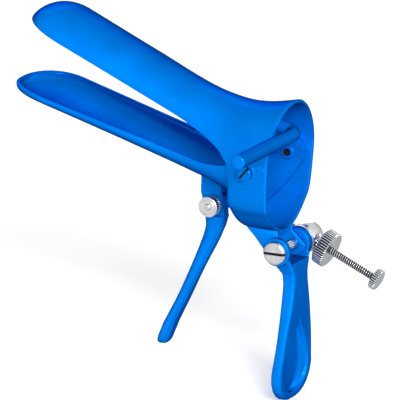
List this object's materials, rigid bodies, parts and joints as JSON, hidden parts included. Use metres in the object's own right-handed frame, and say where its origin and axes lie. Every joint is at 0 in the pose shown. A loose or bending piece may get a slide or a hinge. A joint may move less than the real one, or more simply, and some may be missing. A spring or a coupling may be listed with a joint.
{
  "type": "bivalve speculum",
  "caption": "Bivalve speculum: a trumpet-mouthed upper blade hinged to a trough-shaped lower blade, with folding handles and a screw rod that locks the opening.",
  "frame": {"origin": "middle of the axis through the two side pivots, on the instrument's middle plane", "axes": "+Y to the blade tips, +X to the side of the screw rod, +Z from the handles to the blades"},
  "size_m": [0.0864, 0.1596, 0.1581],
  "materials": {
    "blue_metal": "gloss",
    "bright_metal": "polished"
  },
  "bodies": {
    "upper_blade_body": {"upper_blade": "blue_metal", "thumb_bar": "blue_metal"},
    "lower_blade_body": {"lower_blade": "blue_metal", "handle_bracket": "blue_metal", "left_pivot_screw": "bright_metal", "left_pivot_bush": "bright_metal", "right_pivot_screw": "bright_metal", "right_pivot_bush": "bright_metal", "handle_bolt": "bright_metal", "knob_washer": "bright_metal", "spacer_sleeve": "bright_metal", "rod_eye_nut": "bright_metal"},
    "front_handle_body": {"front_handle": "blue_metal"},
    "rear_handle_body": {"rear_handle": "blue_metal"},
    "knob_body": {"knurled_knob": "bright_metal"},
    "ball_body": {"ball_trunnion": "bright_metal", "hinge_screw": "bright_metal", "ball_washer": "bright_metal"},
    "rod_body": {"threaded_rod": "bright_metal", "end_cap": "bright_metal", "rod_eye": "bright_metal"},
    "nut_body": {"adjusting_nut": "bright_metal"}
  },
  "joints": [
    {"name": "blade_open", "type": "hinge", "parent": "upper_blade_body", "child": "lower_blade_body", "pos_m": [0, 0, 0], "axis": [-1, 0, 0], "range_deg": [-14, 25]},
    {"name": "front_handle_fold", "type": "hinge", "parent": "lower_blade_body", "child": "front_handle_body", "pos_m": [0, 0.024, -0.0206], "axis": [1, 0, 0], "range_deg": [0, 70]},
    {"name": "rear_handle_fold", "type": "hinge", "parent": "upper_blade_body", "child": "rear_handle_body", "pos_m": [0, -0.009, -0.0357], "axis": [-1, 0, 0], "range_deg": [0, 95]},
    {"name": "knob_turn", "type": "hinge", "parent": "lower_blade_body", "child": "knob_body", "pos_m": [0, 0.024, -0.0206], "axis": [-1, 0, 0], "continuous": true},
    {"name": "ball_swivel", "type": "hinge", "parent": "upper_blade_body", "child": "ball_body", "pos_m": [0.019, -0.009, -0.0357], "axis": [-1, 0, 0], "range_deg": [-6, 10]},
    {"name": "rod_slide", "type": "slide", "parent": "ball_body", "child": "rod_body", "axis": [0, -0.9093, -0.4161], "range_m": [-0.0085, 0.0145]},
    {"name": "nut_turn", "type": "hinge", "parent": "ball_body", "child": "nut_body", "pos_m": [0.019, -0.009, -0.0357], "axis": [0, -0.9093, -0.4161], "range_deg": [-2700, 4800]}
  ],
  "couplings": [
    {"joint": "ball_swivel", "follows": "blade_open", "ratio": 0.345},
    {"joint": "rod_slide", "follows": "blade_open", "m_per_rad": 0.0295},
    {"joint": "nut_turn", "follows": "blade_open", "ratio": 185.35}
  ]
}
